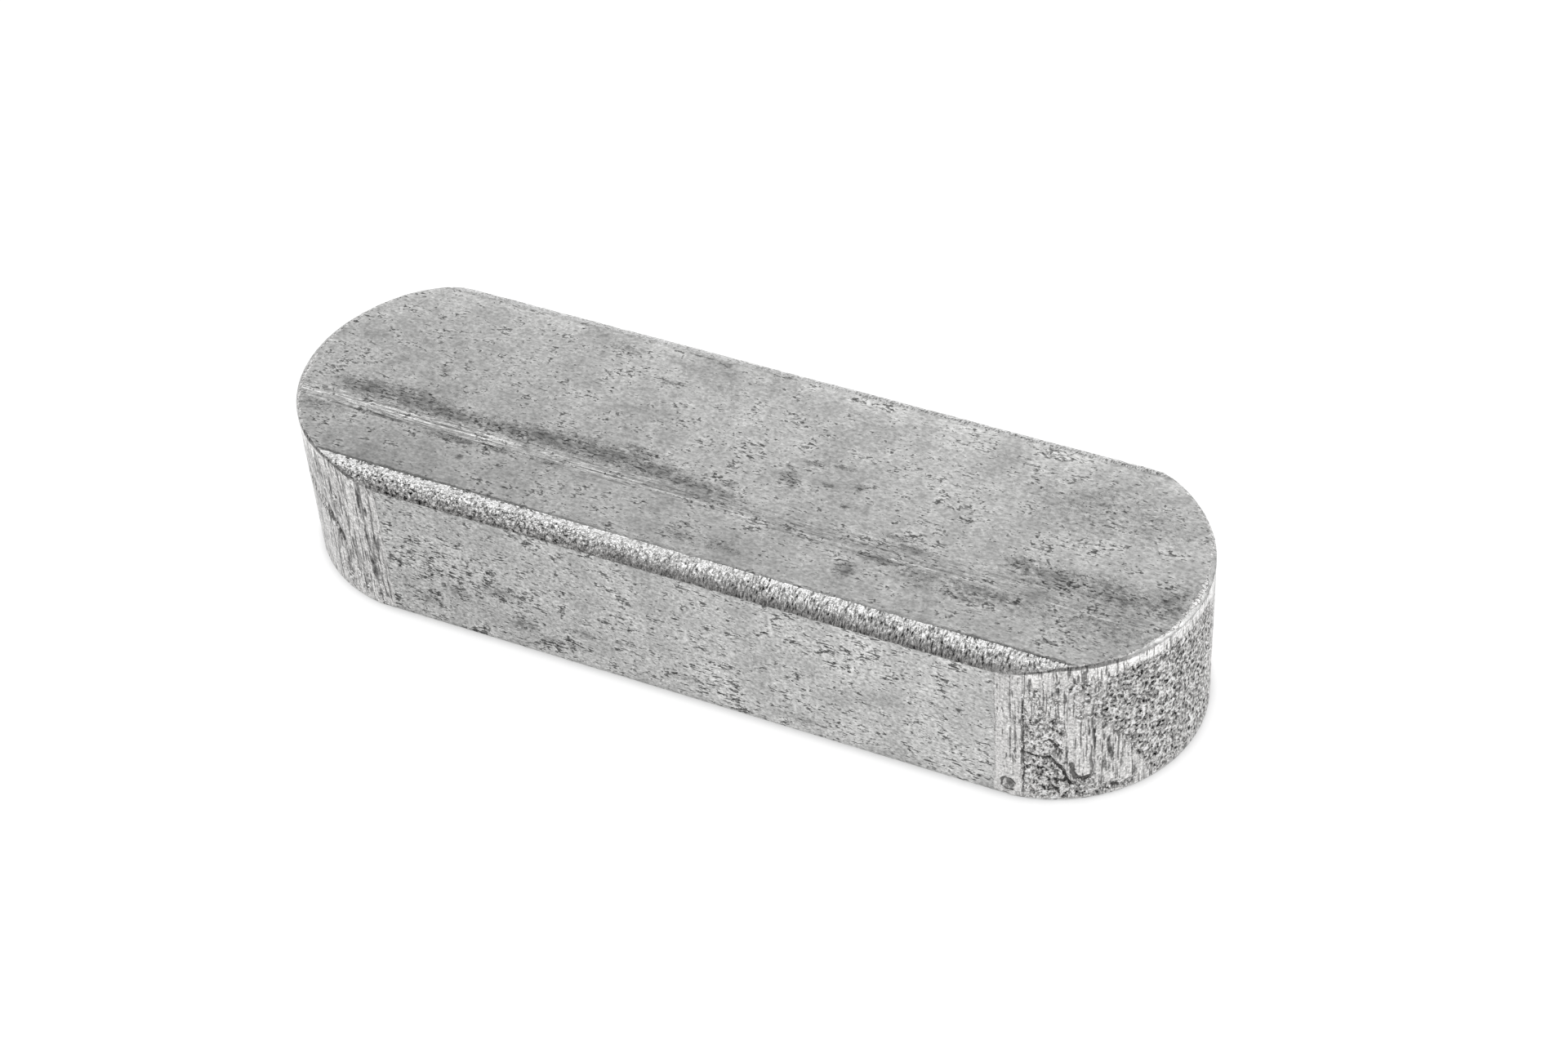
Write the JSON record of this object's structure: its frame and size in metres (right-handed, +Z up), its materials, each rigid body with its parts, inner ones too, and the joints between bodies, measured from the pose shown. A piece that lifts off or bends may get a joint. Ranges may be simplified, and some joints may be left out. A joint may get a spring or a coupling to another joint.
{
  "type": "parallel key",
  "caption": "Flat steel bar key with round ends and crowned long corners, which sits in a keyway to lock a hub to a shaft.",
  "frame": {"origin": "centre of the bottom face", "axes": "+X along the key to its torn end, +Y across it to the back flank, +Z up"},
  "size_m": [0.063, 0.02, 0.012],
  "materials": {
    "steel": "bare cold-drawn bar, satin and fine-pitted, with orange-peel corners and punched ends"
  },
  "bodies": {
    "root": {"parallel_key": "steel"}
  },
  "joints": []
}
